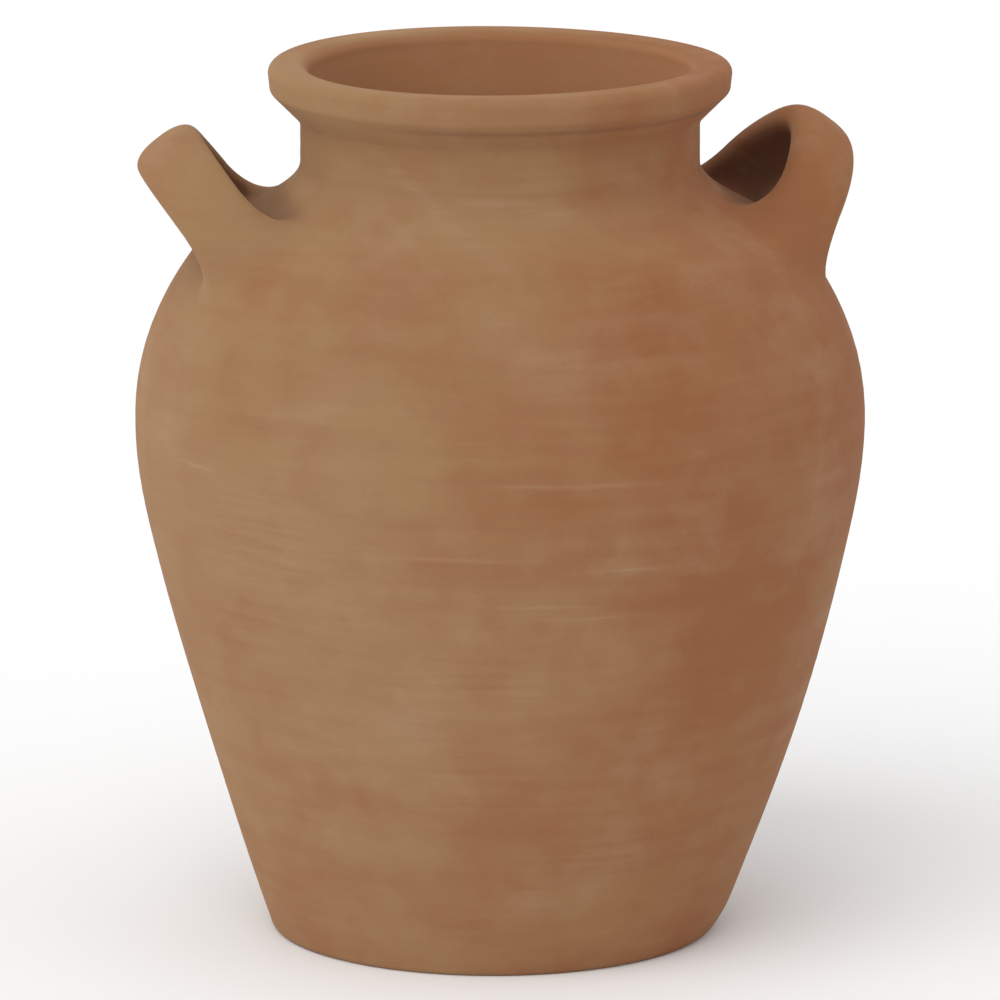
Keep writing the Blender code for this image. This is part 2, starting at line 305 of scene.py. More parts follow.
def ridges(height, azimuth):
    """Depth of the throwing ridges, which climb in a slow spiral and come and go."""
    strength = min(max(0.45 + 1.3 * clay_noise(height, azimuth, RIDGE_FADE), 0.0), 1.0)
    wander = RIDGE_WANDER * clay_noise(height, azimuth, RIDGE_WANDER_FADE, (7.0, 3.0, 0.0))
    turn = math.tau * height / RIDGE_PITCH + azimuth + wander
    return RIDGE_DEPTH * strength * (0.5 + 0.5 * math.sin(turn))


def unevenness(height, azimuth):
    """How far the skin lies inside the outline, or below 0 outside it, though never at the belly."""
    widest = math.exp(-(((height - BELLY_HEIGHT) / BELLY_ZONE) ** 2))
    return OUT_OF_ROUND * 0.5 * (widest + clay_noise(height, azimuth, DENTS, (5.0, 1.0, 2.0)))


def heel_wear(radius, height, azimuth):
    """The edge of the foot is rubbed rounder on the right."""
    if height >= HEEL_RISE:
        return 0.0
    inwards, round_foot, upward = WEAR_POWERS
    side = 0.5 + 0.5 * math.cos(azimuth + CAMERA_TURN - WEAR_TURN)
    edge = min(radius / FOOT_RADIUS, 1.0) ** inwards
    return HEEL_WEAR * side**round_foot * edge * (1 - height / HEEL_RISE) ** upward


def rim_sag(height, azimuth):
    """The mouth is sprung out of level: it is high behind on the left and in front on the right."""
    share = min(max((height - NECK_SEAM_HEIGHT) / NECK_RISE, 0.0), 1.0)
    wave = 0.5 - 0.5 * math.cos(2 * (azimuth + CAMERA_TURN - SAG_TURN))
    return RIM_SAG * wave * share * share * (3 - 2 * share)


def sway(height):
    """How far the wall leans to the camera's right at a height."""
    if height >= BELLY_HEIGHT:
        return 0.0
    return -SWAY * math.cos(math.pi * height / SWAY_BEND) * (1 - height / BELLY_HEIGHT)


def placed(radius, height, azimuth, outer):
    """A point of the skin, with the potter's marks."""
    drop = rim_sag(height, azimuth)
    if outer:
        radius -= unevenness(height, azimuth) + ridges(height, azimuth)
        radius -= heel_wear(radius, height, azimuth)
    lean = sway(height)
    x = radius * math.cos(azimuth) + lean * CAMERA_RIGHT[0]
    y = radius * math.sin(azimuth) + lean * CAMERA_RIGHT[1]
    return (x, y, height - drop)


def placed_row(radius, height, outer):
    """A ring of placed points."""
    return [placed(radius, height, math.tau * i / SEGMENTS, outer) for i in range(SEGMENTS)]


# Meshes.


def grid_normals(grid):
    """Smooth normals of a grid of rows round a loop, pointing out where the rows climb its outside."""
    around = np.roll(grid, -1, axis=1) - np.roll(grid, 1, axis=1)
    normals = np.cross(around, np.gradient(grid, axis=0))
    lengths = np.linalg.norm(normals, axis=2, keepdims=True)
    return normals / np.maximum(lengths, 1e-12)


def skin_mesh(name, rows, normals, flat, closed):
    """A mesh over rows of points round a loop; a row of one point is a pole.

    flat holds the rows whose strip to the next row is a plain face of a seam, and closed joins the
    last row to the first.
    """
    starts = np.cumsum([0] + [len(row) for row in rows])
    faces, corners = [], []
    for i in range(len(rows) if closed else len(rows) - 1):
        j = (i + 1) % len(rows)
        low, high = len(rows[i]), len(rows[j])
        for k in range(max(low, high)):
            n = (k + 1) % max(low, high)
            cells = [(i, k), (i, n), (j, n), (j, k)]
            if low == 1:
                cells = [(i, 0), (j, n), (j, k)]
            if high == 1:
                cells = [(i, k), (i, n), (j, 0)]
            faces.append([int(starts[row]) + at for row, at in cells])
            corners.append(None if i in flat else [normals[row][at] for row, at in cells])
    mesh = bpy.data.meshes.new(name)
    mesh.from_pydata([tuple(point) for row in rows for point in row], [], faces)
    mesh.shade_smooth()
    loop_normals = []
    for face, own in zip(mesh.polygons, corners):
        loop_normals += [face.normal] * len(face.vertices) if own is None else own
    mesh.normals_split_custom_set([tuple(normal) for normal in loop_normals])
    member = bpy.data.objects.new(name, mesh)
    bpy.context.scene.collection.objects.link(member)
    return member


def seam(height):
    """The raised row in the middle of a seam, where a tongue stands in its groove."""
    middle = (wall_radius(height) + inner_radius(height)) / 2
    return [np.array(placed_row(middle, height + TONGUE, False))]


def turned_members():
    """The five turned members, cut from one skin so that their surfaces run on across the seams."""
    rows, starts = skin_rows()
    inner_from = starts["inner_neck"] - ARC_STEPS
    grid = np.array([placed_row(r, z, i < inner_from) for i, (r, z) in enumerate(rows)])
    normals = grid_normals(grid)
    normals[0] = (0.0, 0.0, -1.0)

    def cut(first, last):
        return list(grid[first : last + 1]), list(normals[first : last + 1])

    def ring(name, outer, inner, ends):
        """outer and inner are (first row, last row); ends are the rows across the top and bottom."""
        top, bottom = ends
        out_rows, out_normals = cut(*outer)
        in_rows, in_normals = cut(*inner)
        blank = [np.zeros((SEGMENTS, 3))]
        all_rows = out_rows + top + in_rows + bottom
        all_normals = out_normals + blank * len(top) + in_normals + blank * len(bottom)
        across_top = len(out_rows) - 1
        across_bottom = across_top + len(top) + len(in_rows)
        flat = set(range(across_top, across_top + len(top) + 1))
        flat |= set(range(across_bottom, across_bottom + len(bottom) + 1))
        return skin_mesh(name, all_rows, all_normals, flat, True)

    heel = [np.array(placed_row(inner_radius(FLOOR), FLOOR_EDGE, False))]
    lower = ring(
        "lower_body_clay",
        (starts["lower"], starts["upper"]),
        (starts["inner_lower"], starts["floor"]),
        (seam(BELLY_HEIGHT), heel),
    )
    upper = ring(
        "upper_body_clay",
        (starts["upper"], starts["neck"]),
        (starts["inner_upper"], starts["inner_lower"]),
        (seam(NECK_SEAM_HEIGHT), seam(BELLY_HEIGHT)),
    )
    collar = ring(
        "neck_collar_clay",
        (starts["neck"], starts["lip"]),
        (starts["inner_neck"], starts["inner_upper"]),
        (seam(RIM_SEAM_HEIGHT), seam(NECK_SEAM_HEIGHT)),
    )
    lip_grid, lip_normals = cut(starts["lip"], starts["inner_neck"])
    groove = seam(RIM_SEAM_HEIGHT)
    flat = {len(lip_grid) - 1, len(lip_grid)}
    blank = [np.zeros((SEGMENTS, 3))]
    lip = skin_mesh("rim_clay", lip_grid + groove, lip_normals + blank, flat, True)
    disc = base_member(cut(0, starts["lower"]), heel)
    return {
        "base_disc": disc,
        "lower_body": lower,
        "upper_body": upper,
        "neck_collar": collar,
        "rim": lip,
    }


def base_member(foot, heel):
    """The floor disc: the foot's skin, a ledge, the boss inside the wall and the floor."""
    foot_grid, foot_normals = foot
    up = np.tile((0.0, 0.0, 1.0), (SEGMENTS, 1))
    boss = inner_radius(FLOOR)
    floor_rows = [np.array(placed_row(boss * share, FLOOR, False)) for share in FLOOR_RINGS]
    floor_centre = np.array([placed(0.0, FLOOR, 0.0, False)])
    rows = [foot_grid[0][:1]] + foot_grid[1:] + heel + floor_rows + [floor_centre]
    normals = [foot_normals[0][:1]] + foot_normals[1:] + [up * 0] + [up] * len(floor_rows) + [up[:1]]
    ledge = len(foot_grid) - 1
    return skin_mesh("base_disc_clay", rows, normals, {ledge, ledge + 1}, False)


# Handles. In a handle's own frame X is across the strap, Y runs from root to root and Z is the reach.


def handle_frame(azimuth):
    """From a handle's own frame to the row frame."""
    root_height = BELLY_HEIGHT + HANDLE_ROOT_RISE
    out = math.sqrt(wall_radius(root_height) ** 2 - HANDLE_HALF_SPREAD**2)
    turn = Euler((0.0, math.pi / 2 - HANDLE_LEAN, azimuth)).to_matrix().to_4x4()
    turn.translation = (out * math.cos(azimuth), out * math.sin(azimuth), root_height)
    return turn


def even_points(line, steps):
    """Points at equal steps along a line of points."""
    lengths = np.concatenate([[0.0], np.cumsum(np.linalg.norm(np.diff(line, axis=0), axis=1))])
    even = np.linspace(0.0, lengths[-1], steps + 1)
    return np.stack([np.interp(even, lengths, values) for values in line.T], axis=1)


def arch_path():
    """Even points (y, z) of the arch's centre line, with its bends eased as soft clay eases them."""
    angles = np.linspace(-math.pi / 2, math.pi / 2, ARCH_SAMPLES)
    y = np.sign(angles) * np.abs(np.sin(angles)) ** (2 / ARCH_POWER) * HANDLE_HALF_SPREAD
    z = np.maximum(np.cos(angles), 0.0) ** (2 / ARCH_POWER) * HANDLE_REACH
    bow = np.stack([y, z], axis=1)
    ends = np.array([[-HANDLE_HALF_SPREAD, -ROOT_DEPTH], [HANDLE_HALF_SPREAD, -ROOT_DEPTH]])
    points = even_points(np.concatenate([ends[:1], bow, ends[1:]]), STRAP_STEPS)
    step = np.linalg.norm(points[1] - points[0])
    for _ in range(max(1, round(2 * (ARCH_EASE / step) ** 2))):
        points[1:-1] = (points[:-2] + 2 * points[1:-1] + points[2:]) / 4
    return points


def path_directions(path):
    """Unit directions of a path at its points."""
    along = np.gradient(path, axis=0)
    return along / np.linalg.norm(along, axis=1, keepdims=True)


def section_ring():
    """Where the points round a strap lie, across it and through it."""
    angles = np.arange(SECTION_STEPS) * math.tau / SECTION_STEPS
    cos, sin = np.cos(angles), np.sin(angles)
    across = np.sign(cos) * np.abs(cos) ** (2 / STRAP_POWER) * STRAP_WIDTH / 2
    through = np.sign(sin) * np.abs(sin) ** (2 / STRAP_POWER) * STRAP_THICKNESS / 2
    return across, through


def strap_grid(azimuth, seed):
    """Points of the strap in the row frame, one row for each step of the arch."""
    path = arch_path()
    along = path_directions(path)
    normals = np.stack([-along[:, 1], along[:, 0]], axis=1)
    across, through = section_ring()
    frame = handle_frame(azimuth)
    grid = np.zeros((len(path), SECTION_STEPS, 3))
    for i, ((y, z), (ny, nz)) in enumerate(zip(path, normals)):
        press = 1 + STRAP_WAVER * noise.noise(Vector((seed, y * WAVER_RATE, z * WAVER_RATE)))
        for k in range(SECTION_STEPS):
            local = (across[k] * press, y + through[k] * ny, z + through[k] * nz)
            grid[i, k] = frame @ Vector(local)
    half = len(path) // 2
    for leg in (grid[:half], grid[::-1][:half]):
        trim_leg(leg)
    return grid


def trim_leg(leg):
    """Draws the points of a leg that lie in the wall up, to an even depth under its skin."""
    for k in range(SECTION_STEPS):
        root, after = crossing(leg[:, k])
        ahead = leg[after, k] - root
        ahead /= np.linalg.norm(ahead)
        for i in range(after):
            leg[i, k] = root - ahead * ROOT_TRIM * (after - i) / after


def above_wall(point):
    """How far a point lies out of the wall's skin, measured level."""
    azimuth = math.atan2(point[1], point[0])
    skin = wall_radius(point[2]) - unevenness(point[2], azimuth) - ridges(point[2], azimuth)
    return math.hypot(point[0], point[1]) - skin


def wall_normal(point):
    """The direction square out of the wall at a point."""
    flare = wall_flare(point[2])
    radius = math.hypot(point[0], point[1])
    normal = np.array([point[0] / radius, point[1] / radius, -flare])
    return normal / np.linalg.norm(normal)


def on_wall(point):
    """The point of the wall nearest to a point close to it."""
    for _ in range(WALL_ROUNDS):
        normal = wall_normal(point)
        point = point - normal * above_wall(point) * math.hypot(normal[0], normal[1])
    return point


def walk(line, distance):
    """The point at a distance along a line of points."""
    lengths = np.concatenate([[0.0], np.cumsum(np.linalg.norm(np.diff(line, axis=0), axis=1))])
    return np.array([np.interp(distance, lengths, line[:, axis]) for axis in range(3)])


def luting_line(line, skin, foot, low_shares):
    """One line of a luting, from the strap out over the wall, and the wall's normal at its tip.

    line climbs the strap from the wall, skin is the strap's normal there, and foot is the middle of
    the strap's root.
    """
    root = line[0]
    normal = wall_normal(root)
    out = root - foot
    out = out - normal * np.dot(out, normal)
    out /= np.linalg.norm(out)
    low = 0.5 - 0.5 * out[2]
    climb = LUTE_CLIMB * (1 + (low_shares[0] - 1) * low)
    reach = LUTE_REACH * (1 + (low_shares[1] - 1) * low)
    tip = on_wall(root + out * reach)
    tip_normal = wall_normal(tip)
    start = walk(line, climb) - skin * EDGE_SINK
    points = [start - skin * LUTE_BITE]
    for step in range(FILLET_STEPS + 1):
        t = step / FILLET_STEPS
        up = walk(line, climb * (1 - t) ** 2) - skin * EDGE_SINK * (1 - t)
        out_by = on_wall(root + out * reach * t * t) - root
        points.append(up + out_by - normal * EDGE_SINK * t)
    points.append(tip - tip_normal * LUTE_SINK)
    points.append(root - skin * LUTE_BITE - normal * LUTE_SINK)
    return points, tip_normal


def luting_member(name, strap, strap_normals, low_shares):
    """A smear of clay from the strap out over the shoulder; strap's rows start inside the wall."""
    crossings = [crossing(strap[:, k]) for k in range(SECTION_STEPS)]
    foot = np.mean([root for root, _ in crossings], axis=0)
    lines, edge_normals = [], []
    for k, (root, after) in enumerate(crossings):
        line = np.concatenate([[root], strap[after:, k]])
        skin = strap_normals[after, k]
        points, tip_normal = luting_line(line, skin, foot, low_shares)
        lines.append(points)
        edge_normals.append((skin, tip_normal))
    grid = np.array(lines).swapaxes(0, 1)
    # The rows are turned round where their normals would point into the clay.
    inward = SECTION_STEPS // 4
    if np.dot(grid_normals(grid)[3, inward], strap_normals[len(strap) // 2, inward]) < 0:
        grid, edge_normals = grid[:, ::-1], edge_normals[::-1]
    normals = grid_normals(grid)
    normals[1] = [upper for upper, _ in edge_normals]
    normals[1 + FILLET_STEPS] = [lower for _, lower in edge_normals]
    flat = {0, FILLET_STEPS + 1, FILLET_STEPS + 2, FILLET_STEPS + 3}
    return skin_mesh(name, list(grid), list(normals), flat, True)


def crossing(line):
    """Where a line of the strap leaves the wall, and the first of its points outside."""
    for i in range(len(line) - 1):
        low, high = above_wall(line[i]), above_wall(line[i + 1])
        if low <= 0 < high:
            return line[i] + (line[i + 1] - line[i]) * (-low / (high - low)), i + 1
    raise ValueError("the strap never leaves the wall")


def handle_members(name, azimuth, seed):
    """A strap and its two lutings, keyed by the frame's node names."""
    grid = strap_grid(azimuth, seed)
    normals = grid_normals(grid)
    middle = grid.mean(axis=1)
    half = len(grid) // 2
    # The rows are turned round here too, so that the normals point out of the strap.
    if np.dot(normals[half, 0], grid[half, 0] - middle[half]) < 0:
        grid, normals = grid[:, ::-1], -normals[:, ::-1]
    caps = [middle[:1], middle[-1:]]
    rows = [caps[0]] + list(grid) + [caps[1]]
    all_normals = [caps[0] * 0] + list(normals) + [caps[1] * 0]
    strap = skin_mesh(name + "_clay", rows, all_normals, {0, len(rows) - 2}, False)
    legs = [(grid[:half], normals[:half]), (grid[half:][::-1], normals[half:][::-1])]
    if azimuth > math.pi / 2:  # the left handle is turned round, with its first leg at the back
        legs.reverse()
    front = luting_member(name + "_front_luting_clay", *legs[0], LUTE_FRONT_LOW)
    back = luting_member(name + "_back_luting_clay", *legs[1], LUTE_BACK_LOW)
    return {name: strap, name + "_front_luting": front, name + "_back_luting": back}


# Materials.


class Nodes:
    """A short way to write a node tree."""

    def __init__(self, material):
        material.use_nodes = True
        self.tree = material.node_tree
        self.shader = self.tree.nodes["Principled BSDF"]
        self.place = self.tree.nodes.new("ShaderNodeTexCoord").outputs["Object"]

    def add(self, kind, inputs=(), **settings):
        """A node, with its inputs set or linked."""
        node = self.tree.nodes.new(kind)
        for key, value in settings.items():
            setattr(node, key, value)
        for key, value in dict(inputs).items():
            if isinstance(value, bpy.types.NodeSocket):
                self.tree.links.new(value, node.inputs[key])
            else:
                node.inputs[key].default_value = value
        return node

    def noise(self, scale, stretch=(1, 1, 1), detail=3.0, rough=0.5, shift=0.0):
        """Noise over the pot; shift moves it so that no two noises fall together."""
        where = self.add(
            "ShaderNodeMapping",
            {"Vector": self.place, "Scale": stretch, "Location": (shift, shift * 0.7, shift * 1.3)},
        )
        inputs = {"Vector": where.outputs[0], "Scale": scale, "Detail": detail, "Roughness": rough}
        return self.add("ShaderNodeTexNoise", inputs).outputs["Fac"]

    def spread(self, value, low, high, to_low=0.0, to_high=1.0):
        """A value moved from one range to another, with soft ends."""
        inputs = {0: value, 1: low, 2: high, 3: to_low, 4: to_high}
        return self.add("ShaderNodeMapRange", inputs, interpolation_type="SMOOTHSTEP").outputs[0]

    def swing(self, value, amount, reach=0.2):
        """A noise drawn out to a soft swing from -amount to amount."""
        return self.spread(value, 0.5 - reach, 0.5 + reach, -amount, amount)

    def math(self, operation, first, second, clamp=False):
        """One step of arithmetic."""
        inputs = {0: first, 1: second}
        return self.add("ShaderNodeMath", inputs, operation=operation, use_clamp=clamp).outputs[0]

    def mix(self, share, first, second):
        """A colour between two others."""
        node = self.add("ShaderNodeMix", data_type="RGBA")
        for index, value in ((0, share), (6, first), (7, second)):
            if isinstance(value, bpy.types.NodeSocket):
                self.tree.links.new(value, node.inputs[index])
            else:
                node.inputs[index].default_value = value if index == 0 else (*value, 1.0)
        return node.outputs[2]

    def attribute(self, name):
        """What paint wrote on the points under a name."""
        return self.add("ShaderNodeAttribute", attribute_name=name).outputs["Fac"]


# Colours of fired clay and of painted shade and light, as linear shares of red, green and blue.
RED_CLAY = (0.276, 0.108, 0.043)
TAN_CLAY = (0.322, 0.183, 0.087)
BLOOM = (0.390, 0.252, 0.160)
# Painted shade: the dark colour that gaps and creases are painted towards.
PAINTED_SHADE_COLOUR = (0.105, 0.040, 0.023)
# Painted light: the lighter colour that the inside of the jar is painted.
INSIDE_PAINTED_LIGHT = (0.358, 0.162, 0.071)
TAN_SWINGS = {"patches": 0.22, "bands": 0.07, "clouds": 0.14}
LIGHT_SWINGS = {"hairs": 0.012, "grain": 0.018, "bands": 0.01}
RELIEF = {"hairs": 0.6, "grain": 0.25, "clouds": 0.5}
BLOOM_SHARE = 0.28
CLAY_DIFFUSE_ROUGHNESS = 0.6
CLAY_SPECULAR = 0.25
BUMP_STRENGTH = 0.35
BUMP_DEPTH = 0.00025

# Pale wipe marks: the turn of the middle to the camera's right in degrees, its height, half the
# length in degrees, half the width, how far it falls in metres for each degree to the right, and how
# strong it is.
MARKS = (
    (-22.0, 0.2690, 15.0, 0.0030, 0.00085, 0.34),
    (-2.0, 0.2680, 14.0, 0.0013, 0.00006, 0.34),
    (12.0, 0.2650, 10.0, 0.0011, 0.00006, 0.28),
    (-26.0, 0.2590, 10.0, 0.0020, 0.00070, 0.22),
    (9.0, 0.1815, 11.0, 0.0009, 0.00005, 0.45),
    (-55.0, 0.1780, 5.0, 0.0008, 0.00012, 0.55),
    (22.0, 0.1510, 6.0, 0.0008, 0.00000, 0.50),
    (6.0, 0.1390, 8.0, 0.0008, 0.00006, 0.45),
    (15.0, 0.1345, 7.0, 0.0007, 0.00000, 0.45),
    (-6.0, 0.1560, 11.0, 0.0007, 0.00003, 0.30),
    (3.0, 0.1020, 4.0, 0.0140, 0.00000, 0.20),
    (-40.0, 0.1500, 14.0, 0.0280, 0.00000, 0.26),
    (-12.0, 0.1000, 10.0, 0.0220, 0.00000, 0.20),
    (24.0, 0.0450, 10.0, 0.0100, 0.00000, 0.20),
)


def wiped_marks(n):
    """How strongly the pale wipe marks show at each point."""
    parts = n.add("ShaderNodeSeparateXYZ", {0: n.place}).outputs
    away = n.math("MULTIPLY", parts[1], -1.0)
    azimuth = n.math("ARCTAN2", parts[0], away)
    turn = n.math("MULTIPLY", azimuth, math.degrees(1.0))
    total = 0.0
    for middle, height, half_length, half_width, fall, strength in MARKS:
        along = n.math("SUBTRACT", turn, middle - math.degrees(CAMERA_TURN))
        drop = n.math("MULTIPLY", along, fall)
        across = n.math("ADD", n.math("SUBTRACT", parts[2], height), drop)
        along = n.math("POWER", n.math("MULTIPLY", along, 1 / half_length), 2.0)
        across = n.math("POWER", n.math("MULTIPLY", across, 1 / half_width), 2.0)
        fade = n.math("EXPONENT", n.math("MULTIPLY", n.math("ADD", along, across), -1.0), 0.0)
        total = n.math("ADD", n.math("MULTIPLY", fade, strength), total)
    return total


def clay_colour(n, bands, hairs, clouds):
    """The clay's colour: red to tan in patches, a pale bloom, painted light inside and painted shade in
    gaps and creases.
    """
    patches = n.noise(17.0, (1.0, 1.0, 0.8), detail=3.0, rough=0.55)
    tan = n.attribute("tan")
    tan = n.math("ADD", tan, n.swing(patches, TAN_SWINGS["patches"], reach=0.17))
    tan = n.math("ADD", tan, n.swing(bands, TAN_SWINGS["bands"]))
    tan = n.math("ADD", tan, n.swing(clouds, TAN_SWINGS["clouds"], reach=0.17), clamp=True)
    colour = n.mix(tan, RED_CLAY, TAN_CLAY)
    # Painted light: the inside of the jar is painted lighter.
    colour = n.mix(n.attribute("inner"), colour, INSIDE_PAINTED_LIGHT)
    dusty = n.noise(24.0, detail=4.0, rough=0.6, shift=9.0)
    bloom = n.math("MULTIPLY", n.spread(dusty, 0.48, 0.72), n.spread(bands, 0.30, 0.7, 0.5, 1.0))
    bloom = n.math("MULTIPLY", bloom, BLOOM_SHARE)
    frayed = n.math("MULTIPLY", wiped_marks(n), n.spread(hairs, 0.35, 0.62, 0.25, 1.0))
    bloom = n.math("ADD", bloom, frayed, clamp=True)
    colour = n.mix(bloom, colour, BLOOM)
    # Painted shade: darker on the straps under the arches, on the wall beneath them and in the crease
    # under the lip.
    return n.mix(n.attribute("painted_shade"), colour, PAINTED_SHADE_COLOUR)


def terracotta(name):
    """Fired clay: broad bands and fine hairs from the wheel, clouds, and sandy grain."""
    material = bpy.data.materials.new(name)
    n = Nodes(material)
    clouds = n.noise(46.0, (1.0, 1.0, 1.4), detail=5.0, rough=0.6, shift=3.0)
    bands = n.noise(1.0, (13.0, 13.0, 150.0), detail=3.0, rough=0.55, shift=1.0)
    hairs = n.noise(1.0, (30.0, 30.0, 520.0), detail=3.0, rough=0.65, shift=5.0)
    grain = n.noise(900.0, detail=2.0, rough=0.6)
    colour = clay_colour(n, bands, hairs, clouds)
    light = n.math("ADD", n.swing(hairs, LIGHT_SWINGS["hairs"]), 1.0)
    light = n.math("ADD", light, n.swing(grain, LIGHT_SWINGS["grain"]))
    light = n.math("ADD", light, n.swing(bands, LIGHT_SWINGS["bands"]))
    shade = n.add("ShaderNodeVectorMath", {0: colour, 3: light}, operation="SCALE").outputs[0]
    n.tree.links.new(shade, n.shader.inputs["Base Color"])
    rough = n.spread(clouds, 0.3, 0.7, 0.80, 0.95)
    n.tree.links.new(rough, n.shader.inputs["Roughness"])
    n.shader.inputs["Diffuse Roughness"].default_value = CLAY_DIFFUSE_ROUGHNESS
    n.shader.inputs["Specular IOR Level"].default_value = CLAY_SPECULAR
    fine = n.math("MULTIPLY", hairs, RELIEF["hairs"])
    fine = n.math("ADD", fine, n.math("MULTIPLY", grain, RELIEF["grain"]))
    height = n.math("ADD", fine, n.math("MULTIPLY", clouds, RELIEF["clouds"]))
    relief = {"Height": height, "Strength": BUMP_STRENGTH, "Distance": BUMP_DEPTH}
    bump = n.add("ShaderNodeBump", relief)
    n.tree.links.new(bump.outputs[0], n.shader.inputs["Normal"])
    return material


def plain(name, colour, roughness):
    """A material of one colour."""
    material = bpy.data.materials.new(name)
    material.use_nodes = True
    shader = material.node_tree.nodes["Principled BSDF"]
    shader.inputs["Base Color"].default_value = (*colour, 1.0)
    shader.inputs["Roughness"].default_value = roughness
    return material


# Marks painted on the points of the meshes: the kiln's red and tan, painted shade in gaps and creases,
# and painted light inside the jar. A pair of sizes is a stretch over which a mark fades in or out.
# The clay turns redder and darker towards the camera's right: partly its own colour, partly painted
# shade on the side away from the key lamp.
TAN_ON_LEFT = 0.80  # how tan the clay is at the camera's left
TAN_LOST_TO_RED_AND_SHADE = 0.66  # and how much less on its right
TAN_SIDES = (-0.03, 0.085)  # metres to the camera's right, as in the other pair of sides
# Painted light: the bounds of the inside of the jar, which is painted lighter.
MOUTH_BEND = 0.006  # height above the rim's seam in which the inside widens to the mouth
INNER_EDGE = (0.0, 0.0020)
# Painted shade where a strap faces the gap under its arch, and how it fades.
ARCH_SHADE = 0.85  # on the side of a strap that faces the gap
ARCH_FACE = (0.15, 0.50)  # in shares of the strap's thickness, from its middle to that side
ARCH_APART = (0.5, 1.2)  # in the same shares, away from the strap
ARCH_EDGE = (0.46, 0.60)  # in shares of the strap's width, from its middle across it
# Painted shade on the wall under each arch, and how it fades.
GAP_SHADE = 0.4  # on the wall under an arch
GAP_END = 0.012  # how far before the legs it fades
GAP_TOP = (-0.028, -0.020)  # along the handle's X, which runs down the shoulder
GAP_FOOT = (0.009, 0.017)
GAP_OFF = (0.010, 0.018)  # along its Z, to both sides
# Painted shade in the crease under the lip, stronger towards the camera's right.
CREASE_SHADE = 0.34  # in the crease under the lip
CREASE_RISE = 0.0103  # height of the crease above the rim's seam
CREASE_WIDTH = 0.0010
CREASE_SIDES = (-0.06, 0.00)


def smooth(value, low, high):
    """0 up to low, 1 from high on, and a soft rise between them."""
    share = np.clip((value - low) / (high - low), 0.0, 1.0)
    return share * share * (3 - 2 * share)


# Soft patches of the redder clay, and below 0 of the tan clay: the turn of the middle to the camera's
# right in degrees, its height, half the length in degrees, half the height and how strong it is.
PATCHES = (
    (-47.0, 0.2370, 14.0, 0.0120, 0.26),
    (-49.0, 0.2000, 16.0, 0.0140, 0.22),
    (-35.0, 0.0660, 14.0, 0.0120, 0.26),
    (-4.0, 0.0580, 10.0, 0.0080, 0.20),
    (-3.0, 0.2620, 22.0, 0.0120, -0.22),
)


def in_handle(points, azimuth):
    """The points in the own frame of the handle at an azimuth."""
    home = np.array(handle_frame(azimuth).inverted())
    return points @ home[:3, :3].T + home[:3, 3]


def under_arch(points):
    """How much painted shade each point of a handle gets, as it faces the gap under its arch."""
    azimuth = HANDLE_DRIFT if points[:, 0].mean() > 0 else math.pi - HANDLE_DRIFT
    local = in_handle(points, azimuth)
    path = arch_path()
    along = path_directions(path)
    offsets = local[:, None, 1:] - path[None]
    nearest = np.argmin(np.linalg.norm(offsets, axis=2), axis=1)
    offset = offsets[np.arange(len(points)), nearest]
    side = offset[:, 0] * along[nearest, 1] - offset[:, 1] * along[nearest, 0]
    apart = np.linalg.norm(offset, axis=1) / STRAP_THICKNESS
    beyond = smooth(apart, *ARCH_APART) + smooth(np.abs(local[:, 0]) / STRAP_WIDTH, *ARCH_EDGE)
    facing = smooth(side / STRAP_THICKNESS, *ARCH_FACE)
    return ARCH_SHADE * facing * np.clip(1 - beyond, 0.0, 1.0)


def in_gap(points):
    """How much painted shade each point of the wall gets under an arch."""
    share = np.zeros(len(points))
    for azimuth in (HANDLE_DRIFT, math.pi - HANDLE_DRIFT):
        x, y, z = in_handle(points, azimuth).T
        between = 1 - smooth(np.abs(y), HANDLE_HALF_SPREAD - GAP_END, HANDLE_HALF_SPREAD)
        beside = smooth(x, *GAP_TOP) * (1 - smooth(x, *GAP_FOOT))
        share += between * beside * (1 - smooth(np.abs(z), *GAP_OFF))
    return GAP_SHADE * share


def painted_shade_at(name, points, right):
    """How much painted shade each point of a member gets: under the arches and in the crease under the
    lip.
    """
    x, y, z = points.T
    share = in_gap(points)
    if "handle" in name:
        share = np.maximum(share, under_arch(points))
    crease = np.exp(-(((z - RIM_SEAM_HEIGHT - CREASE_RISE) / CREASE_WIDTH) ** 2))
    outside = np.hypot(x, y) > NECK_RADIUS
    return share + CREASE_SHADE * crease * outside * smooth(right, *CREASE_SIDES)


def tanness(points, right):
    """How tan the clay is at each point, from 0 for red to 1; its fall to the camera's right is partly
    painted shade.
    """
    x, y, z = points.T
    tan = TAN_ON_LEFT - TAN_LOST_TO_RED_AND_SHADE * smooth(right, *TAN_SIDES)
    turn = np.degrees(np.arctan2(y, x) + math.pi / 2 + CAMERA_TURN)
    for middle, height, half_length, half_height, strength in PATCHES:
        across = ((turn - middle + 180) % 360 - 180) / half_length
        tan = tan - strength * np.exp(-(across**2) - ((z - height) / half_height) ** 2)
    return tan


def insideness(points):
    """How far each point lies on the inside of the jar, from 0 to 1, where the clay is painted lighter.
    """
    x, y, z = points.T
    edge = np.array([inner_radius(height) for height in z])
    edge = edge + LIP_INNER_STEP * smooth(z, RIM_SEAM_HEIGHT, RIM_SEAM_HEIGHT + MOUTH_BEND)
    return 1 - smooth(np.hypot(x, y) - edge, *INNER_EDGE)


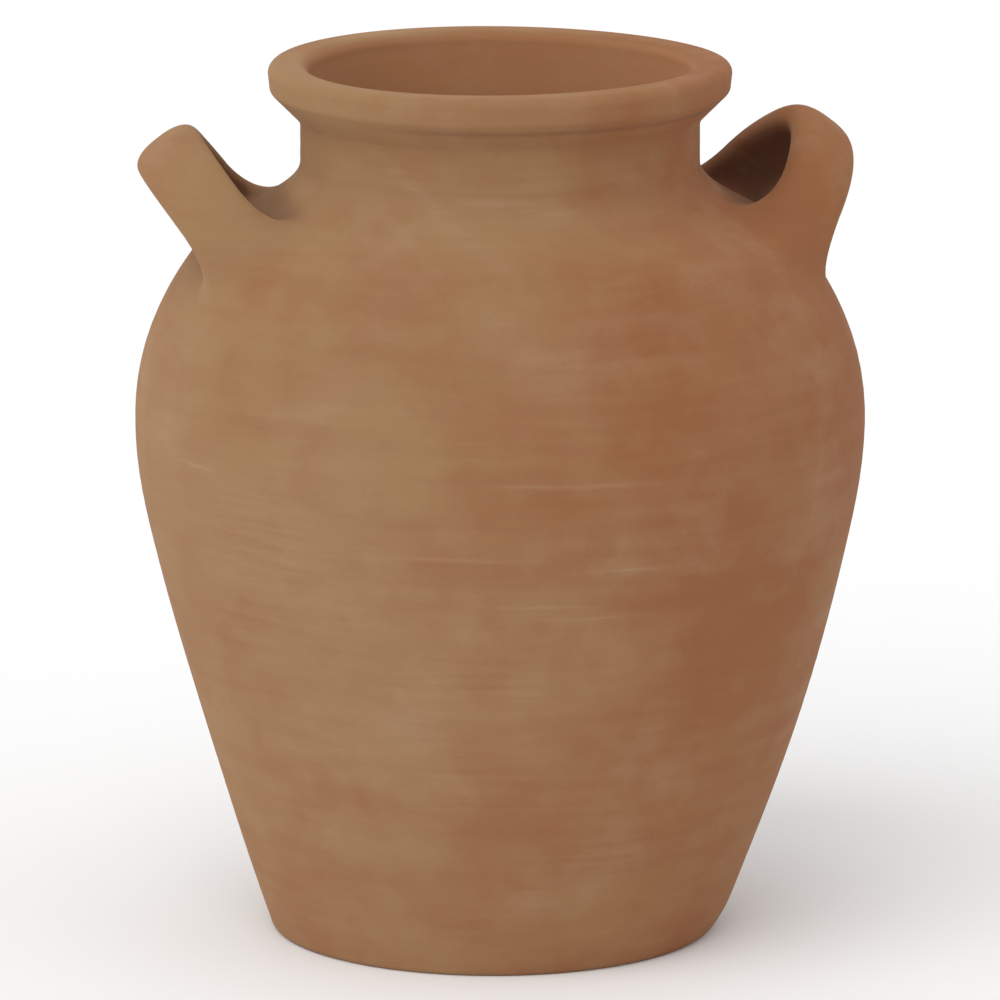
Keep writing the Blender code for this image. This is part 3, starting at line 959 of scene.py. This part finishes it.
def paint(member):
    """Writes how tan the clay is, how much painted shade it gets and how far inside the jar it lies, at
    each point of a member.
    """
    points = np.zeros(len(member.data.vertices) * 3)
    member.data.vertices.foreach_get("co", points)
    points = points.reshape(-1, 3)
    right = points[:, 0] * CAMERA_RIGHT[0] + points[:, 1] * CAMERA_RIGHT[1]
    marks = {
        "tan": tanness(points, right),
        "painted_shade": painted_shade_at(member.name, points, right),
        "inner": insideness(points),
    }
    for key, values in marks.items():
        attribute = member.data.attributes.new(key, "FLOAT", "POINT")
        attribute.data.foreach_set("value", values.astype(np.float32))


# Stage.


def add_sun(name, turn, rise, strength, spread):
    """A soft lamp; its turn is to the camera's right of the line from the pot to the camera."""
    data = bpy.data.lights.new(name, "SUN")
    data.energy = strength
    data.angle = math.radians(spread)
    lamp = bpy.data.objects.new(name, data)
    azimuth = -math.pi / 2 - CAMERA_TURN + math.radians(turn)
    rise = math.radians(rise)
    level = math.cos(rise)
    away = Vector((level * math.cos(azimuth), level * math.sin(azimuth), math.sin(rise)))
    lamp.rotation_euler = away.to_track_quat("Z", "Y").to_euler()
    lamp.location = away * LAMP_DISTANCE
    bpy.context.scene.collection.objects.link(lamp)


def add_camera():
    data = bpy.data.cameras.new("camera")
    data.lens = CAMERA_LENS
    data.sensor_width = SENSOR_WIDTH
    data.clip_end = FAR_CLIP
    camera = bpy.data.objects.new("camera", data)
    level = CAMERA_DISTANCE * math.cos(CAMERA_RISE)
    offset = Vector((-level * math.sin(CAMERA_TURN), -level * math.cos(CAMERA_TURN), 0.0))
    offset.z = CAMERA_DISTANCE * math.sin(CAMERA_RISE)
    camera.location = Vector((0.0, 0.0, CAMERA_TARGET)) + offset
    camera.rotation_euler = offset.to_track_quat("Z", "Y").to_euler()
    bpy.context.scene.collection.objects.link(camera)
    bpy.context.scene.camera = camera


def add_floor():
    mesh = bpy.data.meshes.new("floor")
    corners = [(-1, -1), (1, -1), (1, 1), (-1, 1)]
    mesh.from_pydata([(x * FLOOR_SIZE, y * FLOOR_SIZE, 0) for x, y in corners], [], [(0, 1, 2, 3)])
    floor = bpy.data.objects.new("floor", mesh)
    mesh.materials.append(plain("floor_paper", FLOOR_COLOUR, FLOOR_ROUGHNESS))
    bpy.context.scene.collection.objects.link(floor)


def light_studio():
    scene = bpy.context.scene
    scene.view_settings.view_transform = "Standard"
    world = bpy.data.worlds.new("studio")
    scene.world = world
    world.use_nodes = True
    background = world.node_tree.nodes["Background"]
    background.inputs["Color"].default_value = (1.0, 1.0, 1.0, 1.0)
    background.inputs["Strength"].default_value = SKY_STRENGTH
    add_sun("key", turn=-32, rise=42, strength=1.32, spread=60)
    add_sun("fill", turn=35, rise=25, strength=0.14, spread=60)


# Points (radius, height) of the inside of the wall, which inner_radius reads.
INSIDE = inner_outline()


def main():
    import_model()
    add_camera()
    light_studio()
    add_floor()
    clay = terracotta("fired_terracotta")
    members = turned_members()
    members.update(handle_members("handle_right", HANDLE_DRIFT, seed=1.0))
    members.update(handle_members("handle_left", math.pi - HANDLE_DRIFT, seed=6.0))
    for node, member in members.items():
        member.data.materials.append(clay)
        paint(member)
        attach(member, "root")
        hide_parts(node)


main()
